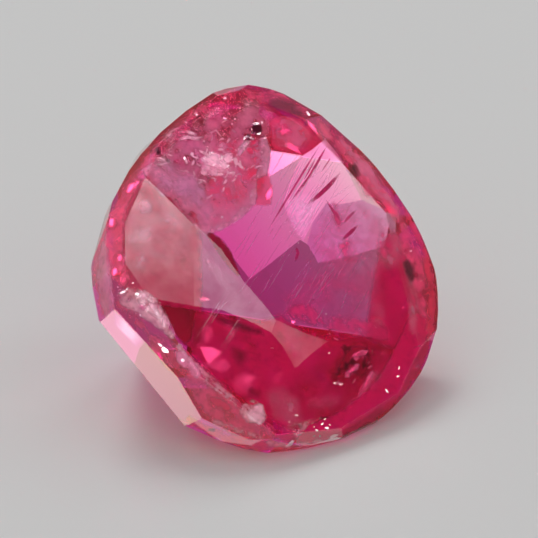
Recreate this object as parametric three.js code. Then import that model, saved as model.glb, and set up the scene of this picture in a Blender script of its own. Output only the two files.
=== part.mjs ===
// A cushion-cut ruby, cut by hand and a little uneven, lying on one of its pavilion facets.
//
// The stone is one solid: the space inside a set of flat facets. Each facet is given in the stone's own
// frame, whose XY plane is the girdle plane and whose +Z runs out through the table. Millimetres and degrees.
import * as THREE from "three";

// Driving dimensions.
const CROWN_HEIGHT = 0.325; // table above the girdle plane

// How the stone lies: its resting facet's direction round the table's axis, that facet's slope from the
// girdle plane, and the direction in plan that the table then faces.
const REST_AZIMUTH = -18;
const REST_SLOPE = 44.8;
const REST_DEPTH = 2.579; // resting facet's distance from the middle of the girdle plane
const TABLE_HEADING = -53.3;

// Girdle: [azimuth, distance from the table's axis] of the narrow flats that make its rounded outline.
const GIRDLE = [
  [-36, 3.631], [-30, 3.603], [-24, 3.568], [-18, 3.555], [-12, 3.515], [-6, 3.524],
  [0, 3.506], [6, 3.473], [12, 3.465], [18, 3.466], [24, 3.451], [30, 3.414],
  [36, 3.4], [42, 3.386], [48, 3.382], [54, 3.365], [60, 3.333], [66, 3.28],
  [72, 3.194], [78, 3.133], [84, 3.136], [90, 3.155], [96, 3.16], [102, 3.185],
  [108, 3.278], [114, 3.363], [120, 3.428], [126, 3.446], [132, 3.472], [138, 3.476],
  [144, 3.471], [150, 3.45], [156, 3.435], [162, 3.378], [168, 3.313], [174, 3.225],
  [180, 3.164], [-174, 3.147],
];

// Side facets, polished flat below the girdle's edge: [name, azimuth, slope, reach at the girdle plane].
const SIDES = [
  ["upper_left_a", -168, 86, 3.163],
  ["upper_left_b", -162, 80, 3.191],
  ["upper_left_c", -156, 78, 3.264],
  ["upper_left_d", -150, 78, 3.303],
  ["left", -136, 87, 3.364],
  ["left_lower", -118, 87, 3.466],
  ["lower_left", -91, 87, 3.29],
  ["bottom_left", -66, 84, 3.586],
  ["bottom", -48, 89, 3.669],
];

// Crown facets: [azimuth, reach at the table's edge, reach lower down, level of that lower point].
const CROWN = [
  [91, 2.412, 3.152, 0],
  [59, 2.421, 3.336, 0],
  [20, 3.161, 3.466, 0],
  [-8, 3.327, 3.521, 0],
  [-30, 3.457, 3.604, 0],
  [-76, 3.15, 3.569, -0.24],
  [-98, 2.921, 3.316, 0],
  [-136, 3.142, 3.364, 0],
  [-158, 2.939, 3.226, 0],
  [179, 3.013, 3.161, 0],
  [158, 3.253, 3.447, 0],
  [119, 2.871, 3.416, 0],
];

// Pavilion facets: [azimuth, slope, reach, level], each through the point at that reach and level.
const PAVILION = [
  [90, 42, 3.142, -0.148],
  [70, 55, 3.196, 0],
  [45, 50, 3.327, -0.832],
  [-54, 74, 3.641, -0.333],
  [-56, 52, 3.512, -0.702],
  [-92, 51, 3.251, -0.813],
  [-128, 51, 3.36, -0.75],
  [-155, 51.4, 3.134, -0.6],
  [180, 52.5, 3.142, -0.6],
  [133, 51, 3.457, -0.259],
  [106, 55.8, 3.128, 0],
];

const MERGE = 0.004; // corners closer than this are one corner

const rad = THREE.MathUtils.degToRad;

// A facet that leans `slope` from the girdle plane, facing up (side 1) or down (side -1), through one point.
function facet(azimuth, slope, reach, level, side) {
  const out = Math.sin(rad(slope));
  const normal = new THREE.Vector3(
    out * Math.cos(rad(azimuth)),
    out * Math.sin(rad(azimuth)),
    side * Math.cos(rad(slope)),
  );
  return { normal, reach: out * reach + side * Math.cos(rad(slope)) * level };
}

function facets() {
  const all = [{ normal: new THREE.Vector3(0, 0, 1), reach: CROWN_HEIGHT }];
  for (const [azimuth, reach] of GIRDLE) all.push(facet(azimuth, 90, reach, 0, -1));
  for (const [, azimuth, slope, reach] of SIDES) all.push(facet(azimuth, slope, reach, 0, -1));
  for (const [azimuth, inner, outer, level] of CROWN) {
    const slope = THREE.MathUtils.radToDeg(Math.atan2(CROWN_HEIGHT - level, outer - inner));
    all.push(facet(azimuth, slope, inner, CROWN_HEIGHT, 1));
  }
  for (const [azimuth, slope, reach, level] of PAVILION) all.push(facet(azimuth, slope, reach, level, -1));
  const rest = facet(REST_AZIMUTH, REST_SLOPE, 0, 0, -1);
  rest.reach = REST_DEPTH;
  all.push(rest);
  return all;
}

// The corners of the solid: each point where three facets meet that lies inside all the others.
function corners(planes) {
  const found = [];
  const cross = new THREE.Vector3();
  for (let i = 0; i < planes.length; i++)
    for (let j = i + 1; j < planes.length; j++) {
      cross.crossVectors(planes[i].normal, planes[j].normal);
      for (let k = j + 1; k < planes.length; k++) {
        const det = cross.dot(planes[k].normal);
        if (Math.abs(det) < 1e-7) continue;
        const p = new THREE.Vector3()
          .addScaledVector(new THREE.Vector3().crossVectors(planes[j].normal, planes[k].normal), planes[i].reach)
          .addScaledVector(new THREE.Vector3().crossVectors(planes[k].normal, planes[i].normal), planes[j].reach)
          .addScaledVector(cross, planes[k].reach)
          .divideScalar(det);
        if (planes.every((q) => q.normal.dot(p) < q.reach + 1e-7)) found.push(p);
      }
    }
  return found;
}

// One polygon of corner numbers for each facet, counter-clockwise seen from outside.
function solid(planes) {
  const points = corners(planes);
  const kept = [];
  const name = points.map((p) => {
    let at = kept.findIndex((q) => q.distanceTo(p) < MERGE);
    if (at < 0) at = kept.push(p) - 1;
    return at;
  });
  const polygons = [];
  for (const { normal, reach } of planes) {
    const on = new Set();
    points.forEach((p, i) => Math.abs(normal.dot(p) - reach) < 1e-5 && on.add(name[i]));
    if (on.size < 3) continue;
    const middle = new THREE.Vector3();
    for (const i of on) middle.add(kept[i]);
    middle.divideScalar(on.size);
    const along = new THREE.Vector3(0.31, 0.52, 0.79).cross(normal).normalize();
    const across = normal.clone().cross(along);
    const angle = (i) => {
      const d = kept[i].clone().sub(middle);
      return Math.atan2(d.dot(across), d.dot(along));
    };
    polygons.push([...on].sort((a, b) => angle(a) - angle(b)));
  }
  return { kept, polygons };
}

function rubyGeometry() {
  const { kept, polygons } = solid(facets());
  const positions = [];
  for (const polygon of polygons)
    for (let i = 1; i + 1 < polygon.length; i++)
      for (const at of [polygon[0], polygon[i], polygon[i + 1]]) positions.push(...kept[at].toArray());
  const geometry = new THREE.BufferGeometry();
  geometry.setAttribute("position", new THREE.Float32BufferAttribute(positions, 3));
  geometry.computeVertexNormals();
  return geometry;
}

const ruby = new THREE.Mesh(
  rubyGeometry(),
  new THREE.MeshStandardMaterial({ color: 0xc2184f, roughness: 0.03, metalness: 0 }),
);
ruby.name = "ruby";
ruby.rotation.z = rad(-REST_AZIMUTH); // spin about the table's axis, so that the lean below lands on the facet

const lean = new THREE.Group(); // tips the table over until the resting facet is level
lean.rotation.y = rad(REST_SLOPE);
lean.add(ruby);

const heading = new THREE.Group();
heading.rotation.z = rad(TABLE_HEADING);
heading.add(lean);

const stone = new THREE.Group();
stone.add(heading);

// The part's frame: origin at the middle of the box's base, on the surface that the stone lies on.
stone.updateMatrixWorld(true);
const box = new THREE.Box3().setFromObject(stone, true);
heading.position.set(-(box.min.x + box.max.x) / 2, -(box.min.y + box.max.y) / 2, -box.min.z);

export default stone;
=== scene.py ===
import math
import random

import bmesh
import bpy
from mathutils import Matrix, Vector, noise
from mathutils.bvhtree import BVHTree
from mathutils.geometry import delaunay_2d_cdt


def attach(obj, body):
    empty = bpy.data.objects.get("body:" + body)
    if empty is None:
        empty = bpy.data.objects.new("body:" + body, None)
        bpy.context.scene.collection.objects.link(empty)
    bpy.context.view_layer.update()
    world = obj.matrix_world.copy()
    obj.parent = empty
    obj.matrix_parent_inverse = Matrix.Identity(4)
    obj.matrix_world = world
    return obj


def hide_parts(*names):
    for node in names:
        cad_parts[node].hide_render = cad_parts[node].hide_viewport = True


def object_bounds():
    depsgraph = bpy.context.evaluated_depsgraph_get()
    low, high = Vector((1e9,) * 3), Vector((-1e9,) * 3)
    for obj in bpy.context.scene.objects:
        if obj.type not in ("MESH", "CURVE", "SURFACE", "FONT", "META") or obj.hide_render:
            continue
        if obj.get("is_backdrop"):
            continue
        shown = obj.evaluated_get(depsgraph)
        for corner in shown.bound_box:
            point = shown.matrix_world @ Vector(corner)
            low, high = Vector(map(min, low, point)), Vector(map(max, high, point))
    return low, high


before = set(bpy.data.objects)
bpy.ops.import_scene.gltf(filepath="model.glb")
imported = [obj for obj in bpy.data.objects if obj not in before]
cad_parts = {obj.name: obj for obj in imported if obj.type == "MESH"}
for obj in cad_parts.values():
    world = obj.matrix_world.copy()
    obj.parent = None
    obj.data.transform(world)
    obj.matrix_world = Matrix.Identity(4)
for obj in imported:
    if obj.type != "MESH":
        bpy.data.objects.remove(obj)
cad_box = [list(c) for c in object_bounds()]

MM = 0.001
IOR = 1.765

# ---------------------------------------------------------------- camera
# The stone's girdle-plane centre, its frame's axes, and the photograph's viewing angle.
GIRDLE = Vector((0.12484, 0.1127, 2.579)) * MM
S_AXIS = Vector((0.65106, -0.35640, -0.67015))
T_AXIS = Vector((0.63149, 0.74418, 0.21774))
N_AXIS = Vector((0.42111, -0.56496, 0.70957))
TABLE_HEIGHT = 0.325 * MM

ELEVATION = math.radians(28)
SIDE = 538  # the photograph's width and height in pixels
PX = MM / 54.1  # one of its pixels at the stone
TO_CAMERA = Vector((0, -math.cos(ELEVATION), math.sin(ELEVATION)))
RIGHT = Vector((1, 0, 0))
UP = Vector((0, math.sin(ELEVATION), math.cos(ELEVATION)))
DISTANCE = 0.35


def photo_point(x, y):
    """The point at the girdle centre's distance that pixel (x, y) of the photograph shows."""
    return GIRDLE + RIGHT * (x - 272) * PX + UP * (262 - y) * PX


scene = bpy.context.scene
scene.view_settings.view_transform = "Standard"
scene.view_settings.look = "None"

cam_data = bpy.data.cameras.new("camera")
camera = bpy.data.objects.new("camera", cam_data)
scene.collection.objects.link(camera)
camera.location = photo_point(SIDE / 2, SIDE / 2) + TO_CAMERA * DISTANCE
camera.rotation_mode = "QUATERNION"
camera.rotation_quaternion = (-TO_CAMERA).to_track_quat("-Z", "Y")
cam_data.sensor_width = 36
cam_data.lens = 36 * DISTANCE / (SIDE * PX)
cam_data.clip_start = 0.01
cam_data.clip_end = 10
scene.camera = camera

cycles = scene.cycles
cycles.max_bounces = 32
cycles.transmission_bounces = 28
cycles.glossy_bounces = 24
cycles.diffuse_bounces = 6
cycles.transparent_max_bounces = 32
cycles.caustics_reflective = True
cycles.caustics_refractive = True
cycles.blur_glossy = 0.0
cycles.sample_clamp_indirect = 12


# ---------------------------------------------------------------- helpers
def new_mesh(name, verts, faces, material=None):
    mesh = bpy.data.meshes.new(name)
    mesh.from_pydata([tuple(v) for v in verts], [], faces)
    mesh.validate()
    mesh.update()
    obj = bpy.data.objects.new(name, mesh)
    scene.collection.objects.link(obj)
    if material:
        mesh.materials.append(material)
    return obj


def principled(name, **sockets):
    material = bpy.data.materials.new(name)
    material.use_nodes = True
    shader = material.node_tree.nodes["Principled BSDF"]
    for key, value in sockets.items():
        socket = shader.inputs[key.replace("_", " ")]
        socket.default_value = (*value, 1) if hasattr(value, "__len__") and len(value) == 3 else value
    return material


# ---------------------------------------------------------------- the stone
ruby_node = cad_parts["ruby"]


WEAR = 0.016  # mm, usual width of a worn facet junction
BLUNT = math.radians(9.5)  # junctions flatter than this are rounded off altogether
STEP = 0.12  # mm between the points of the fine mesh


def worn_solid():
    """The CAD stone, in mm, with its facet junctions cut back by narrow flats, marked 1 in the layer `worn`."""
    mesh = bmesh.new()
    mesh.from_mesh(ruby_node.data)
    mesh.transform(Matrix.Scale(1 / MM, 4))
    bmesh.ops.remove_doubles(mesh, verts=mesh.verts, dist=1e-4)
    bmesh.ops.dissolve_limit(
        mesh, angle_limit=math.radians(0.05), verts=mesh.verts, edges=mesh.edges, use_dissolve_boundaries=False
    )
    worn = mesh.faces.layers.int.new("worn")
    wear = random.Random(5)
    cuts = []
    for edge in mesh.edges:
        first, second = edge.link_faces
        bend = first.normal.angle(second.normal)
        length = edge.calc_length()
        if bend < BLUNT or length < 0.1 or min(first.normal.dot(N_AXIS), second.normal.dot(N_AXIS)) < -0.3:
            continue  # the pavilion's junctions are still sharp
        width = WEAR * wear.uniform(0.5, 1.4)
        sink = width * math.tan(bend / 2) / 2
        along = (edge.verts[1].co - edge.verts[0].co).normalized()
        way = (first.normal + second.normal).normalized() + along * (wear.uniform(-1, 1) * sink / length)
        way.normalize()
        cuts.append(((edge.verts[0].co + edge.verts[1].co) / 2 - way * sink, way))
    for point, way in cuts:
        made = bmesh.ops.bisect_plane(
            mesh, geom=list(mesh.verts) + list(mesh.edges) + list(mesh.faces), dist=1e-5, plane_co=point, plane_no=way, clear_outer=True
        )
        rim = [e for e in made["geom_cut"] if isinstance(e, bmesh.types.BMEdge) and e.is_boundary]
        if rim:
            for face in bmesh.ops.contextual_create(mesh, geom=rim)["faces"]:
                face[worn] = 1
    bmesh.ops.remove_doubles(mesh, verts=mesh.verts, dist=5e-4)
    bmesh.ops.recalc_face_normals(mesh, faces=mesh.faces)
    return mesh, worn


def stone_mesh():
    """The stone's fine mesh: worn junctions, and facets that are not quite flat. It is nowhere outside the CAD stone."""
    mesh, worn = worn_solid()
    mesh.verts.index_update()
    points = [v.co.copy() for v in mesh.verts]
    owner = [None] * len(points)  # the facet that each point lies on
    chain = {}
    for edge in mesh.edges:
        n = max(1, round(edge.calc_length() / STEP))
        first, second = edge.verts
        middle = []
        for k in range(1, n):
            middle.append(len(points))
            points.append(first.co.lerp(second.co, k / n))
            owner.append(None)
        chain[edge] = (first.index, middle, second.index)
    scatter = random.Random(3)
    polygons, kinds = [], []
    rounded = {}
    for face in mesh.faces:
        rim = []
        for loop in face.loops:
            first, middle, second = chain[loop.edge]
            rim += [first, *middle] if loop.vert.index == first else [second, *reversed(middle)]
        normal = face.normal.copy()
        u = normal.orthogonal().normalized()
        v = normal.cross(u)
        flat = [Vector((points[i].dot(u), points[i].dot(v))) for i in rim]
        blunt = not face[worn] and any(
            not other[worn] and other.normal.angle(normal) < BLUNT for e in face.edges for other in e.link_faces if other is not face
        )
        extra = []
        if not face[worn] and not (blunt and face.calc_area() < 1.2):
            rise = points[rim[0]].dot(normal)
            xs, ys = [p.x for p in flat], [p.y for p in flat]
            row, y = 0, min(ys)
            while y < max(ys):
                x = min(xs) + (row % 2) * STEP / 2
                while x < max(xs):
                    q = Vector((x + scatter.uniform(-0.2, 0.2) * STEP, y + scatter.uniform(-0.2, 0.2) * STEP))
                    near = min(
                        (b - a).normalized().cross(q - a) for a, b in zip(flat, flat[1:] + flat[:1]) if (b - a).length > 1e-6
                    )
                    if near > STEP * 0.5:
                        extra.append(q)
                        points.append(u * q.x + v * q.y + normal * rise)
                        owner.append(None)
                    x += STEP
                row, y = row + 1, y + STEP * 0.87
        names = rim + list(range(len(points) - len(extra), len(points)))
        made = delaunay_2d_cdt(flat + extra, [], [list(range(len(rim)))], 1, 1e-7)
        back = [names[o[0]] for o in made[3]]
        for triangle in made[2]:
            polygons.append([back[i] for i in triangle])
            kinds.append(None if face[worn] else normal)
        if not face[worn]:
            area = face.calc_area()
            for i in names:
                if owner[i] is None or owner[i][0] < area:
                    owner[i] = (area, normal)
                rounded.setdefault(i, []).append(normal)
    mesh.free()

    def swell(point, normal):
        """Depth, in mm, to which a facet is polished away at a point."""
        tilt = normal.dot(N_AXIS)
        if tilt > 0.99:
            depth = 0.0002
        elif tilt < -0.3:
            depth = 0.0011
        elif tilt > 0.05:
            depth = 0.0016
        else:
            depth = 0.003
        wave = noise.noise(point / 0.75) + 0.35 * noise.noise(point / 0.27)
        return depth * (1.4 + wave)

    moved, shade = [], []
    for i, point in enumerate(points):
        if owner[i] is None:
            moved.append(point)
            shade.append(None)
            continue
        normal = owner[i][1]
        u = normal.orthogonal().normalized()
        v = normal.cross(u)
        e = 0.01
        du = (swell(point + u * e, normal) - swell(point - u * e, normal)) / (2 * e)
        dv = (swell(point + v * e, normal) - swell(point - v * e, normal)) / (2 * e)
        moved.append(point - normal * swell(point, normal))
        whole = Vector()
        for other in rounded[i]:
            if other.angle(normal) < BLUNT * 1.5:
                whole += other
        shade.append((whole.normalized() + u * du + v * dv).normalized())
    data = bpy.data.meshes.new("ruby_stone")
    data.from_pydata([tuple(p * MM) for p in moved], [], polygons)
    data.update()
    data.polygons.foreach_set("use_smooth", [True] * len(polygons))
    normals = []
    for polygon, kind in zip(polygons, kinds):
        own = (moved[polygon[1]] - moved[polygon[0]]).cross(moved[polygon[2]] - moved[polygon[0]]).normalized()
        for i in polygon:
            best = shade[i] or own
            if kind is not None and best.angle(kind) > BLUNT * 1.5:
                best = kind
            normals.append(tuple(best))
    data.normals_split_custom_set(normals)
    lines = data.attributes.new("lines", "FLOAT", "POINT")  # the table is polished too well to show any
    lines.data.foreach_set("value", [0.0 if o and o[1].dot(N_AXIS) > 0.99 else 1.0 for o in owner])
    return data


stone = bpy.data.objects.new("ruby_stone", stone_mesh())
scene.collection.objects.link(stone)

glass = principled(
    "ruby_crystal",
    Base_Color=(1, 1, 1),
    Roughness=0.0,
    IOR=IOR,
    Transmission_Weight=1.0,
)
tree = glass.node_tree
absorb = tree.nodes.new("ShaderNodeVolumeAbsorption")
absorb.inputs["Color"].default_value = (0.971, 0.036, 0.759, 1)
absorb.inputs["Density"].default_value = 830
tree.links.new(absorb.outputs[0], tree.nodes["Material Output"].inputs["Volume"])
# Fine polishing lines and waviness of the polished facets.
place = tree.nodes.new("ShaderNodeTexCoord")
stretch = tree.nodes.new("ShaderNodeMapping")
stretch.inputs["Rotation"].default_value = (0.4, 0.9, 0.3)
stretch.inputs["Scale"].default_value = (1.0, 5.0, 5.0)
lines = tree.nodes.new("ShaderNodeTexNoise")
lines.inputs["Scale"].default_value = 1 / (0.5 * MM)
lines.inputs["Detail"].default_value = 2.0
bump = tree.nodes.new("ShaderNodeBump")
bump.inputs["Strength"].default_value = 1.0
bump.inputs["Distance"].default_value = 0.0004 * MM
grip = tree.nodes.new("ShaderNodeAttribute")
grip.attribute_name = "lines"
height = tree.nodes.new("ShaderNodeMath")
height.operation = "MULTIPLY"
tree.links.new(place.outputs["Object"], stretch.inputs["Vector"])
tree.links.new(stretch.outputs["Vector"], lines.inputs["Vector"])
tree.links.new(lines.outputs["Fac"], height.inputs[0])
tree.links.new(grip.outputs["Fac"], height.inputs[1])
tree.links.new(height.outputs[0], bump.inputs["Height"])
tree.links.new(bump.outputs["Normal"], tree.nodes["Principled BSDF"].inputs["Normal"])
stone.data.materials.clear()
stone.data.materials.append(glass)
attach(stone, "root")
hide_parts("ruby")

# ---------------------------------------------------------------- floor and light
floor_material = principled("floor", Base_Color=(0.80, 0.80, 0.797), Roughness=1.0, Specular_IOR_Level=0.0)
R = 0.6
GAP = -0.01 * MM  # the film of air under the resting facet
floor = new_mesh("floor", [(-R, -R, GAP), (R, -R, GAP), (R, R, GAP), (-R, R, GAP)], [(0, 1, 2, 3)], floor_material)
floor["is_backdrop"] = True

world = bpy.data.worlds.new("studio")
scene.world = world
world.use_nodes = True
world.node_tree.nodes["Background"].inputs[0].default_value = (1, 1, 1, 1)
world.node_tree.nodes["Background"].inputs[1].default_value = 0.5

MIDDLE = Vector((0, 0, 2 * MM))


def direction(azimuth, elevation):
    """Unit vector: azimuth from +X towards +Y, elevation above the floor, in degrees."""
    a, e = math.radians(azimuth), math.radians(elevation)
    return Vector((math.cos(a) * math.cos(e), math.sin(a) * math.cos(e), math.sin(e)))


def softbox(name, azimuth, elevation, distance, width, height, radiance):
    data = bpy.data.lights.new(name, "AREA")
    data.shape = "RECTANGLE"
    data.size = width
    data.size_y = height
    data.energy = radiance * math.pi * width * height
    obj = bpy.data.objects.new(name, data)
    scene.collection.objects.link(obj)
    way = direction(azimuth, elevation)
    obj.location = MIDDLE + way * distance
    obj.rotation_mode = "QUATERNION"
    obj.rotation_quaternion = (-way).to_track_quat("-Z", "Y")
    return obj


softbox("key", 114, 54, 0.6, 0.26, 0.26, 4.0)

# ---------------------------------------------------------------- light paths of the photographed view
surface = bmesh.new()
surface.from_mesh(ruby_node.data)
surface.transform(Matrix.Scale(1 / MM, 4))  # in millimetres, where the tree's tolerances are safe
SHELL = BVHTree.FromBMesh(surface)
surface.free()
surface = bmesh.new()
surface.from_mesh(stone.data)
surface.transform(Matrix.Scale(1 / MM, 4))
SKIN = BVHTree.FromBMesh(surface)  # with its worn edges
surface.free()
HEART = GIRDLE / MM - N_AXIS * 1.2
ROOM = 0.008  # mm that an inclusion keeps from the surface, less where it is drawn past it


def held_inside(point):
    """The point, in metres, moved inward if it lies outside the stone or within ROOM of its surface."""
    p = Vector(point) / MM
    at, normal, _, _ = SKIN.find_nearest(p)
    depth = (at - p).dot(normal)
    if depth >= ROOM:
        return tuple(point)
    return tuple((at + (HEART - at).normalized() * (0.003 + (ROOM - 0.003) * math.exp((depth - ROOM) / 0.03))) * MM)


def refracted(way, normal, ratio):
    """way, bent at a face whose normal points against it, or None where it is totally reflected."""
    c = -way.dot(normal)
    k = 1 - ratio * ratio * (1 - c * c)
    return None if k < 0 else way * ratio + normal * (ratio * c - math.sqrt(k))


def mirrored(way, normal):
    return way - normal * (2 * way.dot(normal))


def entry(x, y):
    """Where the line of sight through pixel (x, y) meets the stone, in mm: point, way, outward normal."""
    way = (photo_point(x, y) - camera.location).normalized()
    point, normal, _, _ = SHELL.ray_cast(camera.location / MM, way)
    return (point, way, normal) if point else None


def inside(x, y, depth):
    """The point in the stone seen at pixel (x, y), depth mm along the refracted line of sight, in metres."""
    while entry(x, y) is None:  # a point just outside the outline belongs to its edge
        x, y = x + (268 - x) * 0.01, y + (266 - y) * 0.01
    point, way, normal = entry(x, y)
    way = refracted(way, normal, 1 / IOR)
    _, _, _, room = SHELL.ray_cast(point + way * 0.01, way)
    return (point + way * min(depth, (room or 0) + 0.01 - 0.03)) * MM


def under(x, y, depth, seed):
    """Like inside(), but by way of the plane of the facet seen at the seed pixel."""
    origin, _, face = entry(*seed)
    way = (photo_point(x, y) - camera.location).normalized()
    start = camera.location / MM
    point = start + way * ((origin - start).dot(face) / way.dot(face))
    return (point + refracted(way, face, 1 / IOR) * depth) * MM


def in_table(x, y):
    """Where the line of sight through pixel (x, y) meets the table's plane, in mm, and its way inside."""
    way = (photo_point(x, y) - camera.location).normalized()
    start = camera.location / MM
    point = start + way * ((TABLE_POINT - start).dot(N_AXIS) / way.dot(N_AXIS))
    return point, refracted(way, N_AXIS, 1 / IOR)


def route(x, y):
    """The facets that the line of sight through pixel (x, y) meets up to where it leaves: [(point, outward normal)]."""
    point, way, normal = entry(x, y)
    met = [(point, normal)]
    way = refracted(way, normal, 1 / IOR)
    for _ in range(40):
        point, normal, _, _ = SHELL.ray_cast(point + way * 1e-3, way)
        met.append((point, normal))
        if refracted(way, -normal, IOR):
            break
        way = mirrored(way, normal)
    return met


def beyond(met, x, y, reach):
    """Where the line of sight through pixel (x, y) gets to, reach mm after it has left by a route."""
    way = (photo_point(x, y) - camera.location).normalized()
    point = camera.location / MM
    for k, (origin, normal) in enumerate(met):
        point = point + way * ((origin - point).dot(normal) / way.dot(normal))
        if k == 0:
            way = refracted(way, normal, 1 / IOR)
        elif k < len(met) - 1:
            way = mirrored(way, normal)
        else:
            way = refracted(way, -normal, IOR)
    return (point + way * reach) * MM


def through_window(x, y, level):
    """Where the line of sight through pixel (x, y) meets the height `level` mm, past the table and the window's facet."""
    point, way = in_table(x, y)
    point = point + way * ((PANE - point).dot(PANE_NORMAL) / way.dot(PANE_NORMAL))
    way = refracted(way, -PANE_NORMAL, IOR)
    return (point + way * ((level - point.z) / way.z)) * MM


def off_plane(x, y, origin, normal, reach=None, level=None):
    """Where the line of sight through pixel (x, y), mirrored in a plane, gets to."""
    way = (photo_point(x, y) - camera.location).normalized()
    start = camera.location / MM
    point = start + way * ((origin - start).dot(normal) / way.dot(normal))
    way = mirrored(way, normal)
    return (point + way * (reach if reach else (level - point.z) / way.z)) * MM


def glow(name, tint, mottle=0.0):
    """Material of a reflector card: a plain light off its face, as strong as the mesh's `radiance` says, mottled or not."""
    material = bpy.data.materials.new(name)
    material.use_nodes = True
    nodes = material.node_tree
    nodes.nodes.remove(nodes.nodes["Principled BSDF"])
    emit = nodes.nodes.new("ShaderNodeEmission")
    emit.inputs["Color"].default_value = (*tint, 1)
    level = nodes.nodes.new("ShaderNodeAttribute")
    level.attribute_name = "radiance"
    out = level.outputs["Fac"]
    if mottle:
        place = nodes.nodes.new("ShaderNodeTexCoord")
        cloud = nodes.nodes.new("ShaderNodeTexNoise")
        cloud.inputs["Scale"].default_value = 1 / (0.55 * MM)
        cloud.inputs["Detail"].default_value = 4.0
        spread = nodes.nodes.new("ShaderNodeMapRange")
        spread.inputs["From Min"].default_value = 0.3
        spread.inputs["From Max"].default_value = 0.7
        spread.inputs["To Min"].default_value = 1 - mottle
        spread.inputs["To Max"].default_value = 1 + mottle
        both = nodes.nodes.new("ShaderNodeMath")
        both.operation = "MULTIPLY"
        nodes.links.new(place.outputs["Object"], cloud.inputs["Vector"])
        nodes.links.new(cloud.outputs["Fac"], spread.inputs["Value"])
        nodes.links.new(spread.outputs["Result"], both.inputs[0])
        nodes.links.new(out, both.inputs[1])
        out = both.outputs[0]
    nodes.links.new(out, emit.inputs["Strength"])
    nodes.links.new(emit.outputs[0], nodes.nodes["Material Output"].inputs["Surface"])
    return material


def card(name, corners, radiance, seen_by, tint=(1, 1, 1), mottle=0.0, rim=None):
    """A reflector card; radiance is one number, or one for each corner, and falls to `rim` at the edge if that is given."""
    n = len(corners)
    levels = [radiance] * n if isinstance(radiance, (int, float)) else radiance
    faces = [tuple(range(n))]
    if rim is not None:
        middle = sum(corners, Vector()) / n
        corners = list(corners) + [middle.lerp(c, 0.4) for c in corners]
        levels = [rim] * n + levels
        faces = [tuple(range(n, 2 * n))] + [(i, (i + 1) % n, n + (i + 1) % n, n + i) for i in range(n)]
    obj = new_mesh(name, corners, faces, glow(name, tint, mottle))
    layer = obj.data.attributes.new("radiance", "FLOAT", "POINT")
    layer.data.foreach_set("value", levels)
    obj.visible_camera = False
    obj.visible_diffuse = False
    obj.visible_shadow = False
    obj.visible_volume_scatter = False
    obj.visible_glossy = seen_by == "gloss"
    obj.visible_transmission = seen_by == "glass"
    obj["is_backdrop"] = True
    return obj


# The pavilion facet that the window looks out through.
TABLE_POINT = (GIRDLE + N_AXIS * TABLE_HEIGHT) / MM
PANE, PANE_NORMAL, _, _ = SHELL.ray_cast(*in_table(300, 240))
if PANE_NORMAL.dot(N_AXIS) > 0.5:
    PANE, PANE_NORMAL, _, _ = SHELL.ray_cast(PANE + in_table(300, 240)[1] * 0.01, in_table(300, 240)[1])

# What the window in the stone looks out on: reflector cards that lie behind it on the floor.
WINDOW = [(205, 170), (270, 140), (325, 150), (395, 215), (390, 300), (378, 340), (190, 312), (190, 235)]
WINDOW_TINT = (1.0, 1.04, 0.77)
BANDS = {
    "window_bright": (1.0, [(300, 156), (327, 140), (345, 166), (362, 200), (340, 204), (326, 203), (313, 222), (303, 241), (290, 222), (283, 200)]),
    "window_corner": (1.75, [(268, 178), (271, 150), (303, 152), (300, 157)]),
    "window_right": (0.6, [(313, 222), (326, 203), (340, 204), (362, 200), (395, 215), (392, 244), (345, 258), (318, 263), (307, 244)]),
    "window_dark": (0.35, [(188, 214), (204, 225), (227, 250), (250, 279), (272, 262), (300, 240), (308, 245), (318, 263), (345, 258), (392, 244), (390, 300), (378, 340), (190, 312)]),
}
card("window_base", [through_window(x, y, 0.01) for x, y in WINDOW], 0.76, "glass", (1.0, 1.26, 0.79))
for i, (name, (radiance, outline)) in enumerate(BANDS.items()):
    card(name, [through_window(x, y, 0.02 + 0.01 * i) for x, y in outline], radiance, "glass", (1.1, 1.08, 0.92) if name == "window_right" else WINDOW_TINT)

# What the table mirrors: a dark flag, and before it the lit edges that lie over the stone as a veil.
flag = [off_plane(x, y, TABLE_POINT, N_AXIS, reach=12) for x, y in ((-60, 270), (270, -60), (600, 270), (270, 600))]
card("flag", flag, 0.08, "gloss")
VEIL = {
    "veil_top": ((3.3, 3.2, 2.3, 1.8, 1.6, 2.0, 2.1), [(140, 175), (150, 181), (171, 202), (194, 225), (194, 262), (120, 262), (112, 240)]),
    "veil_low": ((2.1, 1.6, 0.95, 0.95, 1.1), [(120, 262), (194, 262), (194, 306), (150, 298), (118, 290)]),
    "veil_right": (1.82, [(194, 222), (208, 236), (222, 250), (245, 283), (262, 302), (276, 320), (272, 333), (258, 325), (240, 317), (222, 310), (194, 306)]),
    "veil_end": (0.95, [(276, 320), (305, 333), (328, 341), (312, 353), (295, 368), (283, 347), (272, 333)]),
}
for name, (radiance, outline) in VEIL.items():
    card(name, [off_plane(x, y, TABLE_POINT, N_AXIS, reach=5) for x, y in outline], radiance, "gloss", (1.05, 0.97, 1.03), 0.45)
lobe = [(282, 198), (302, 192), (326, 200), (315, 222), (303, 243), (290, 226)]
card("veil_lobe", [off_plane(x, y, TABLE_POINT, N_AXIS, reach=5) for x, y in lobe], 1.15, "gloss", (0.85, 0.95, 1.25), rim=0.15)


def facet_at(x, y):
    """A point and the outward normal of the facet seen at pixel (x, y)."""
    point, _, normal = entry(x, y)
    return point, normal


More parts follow.
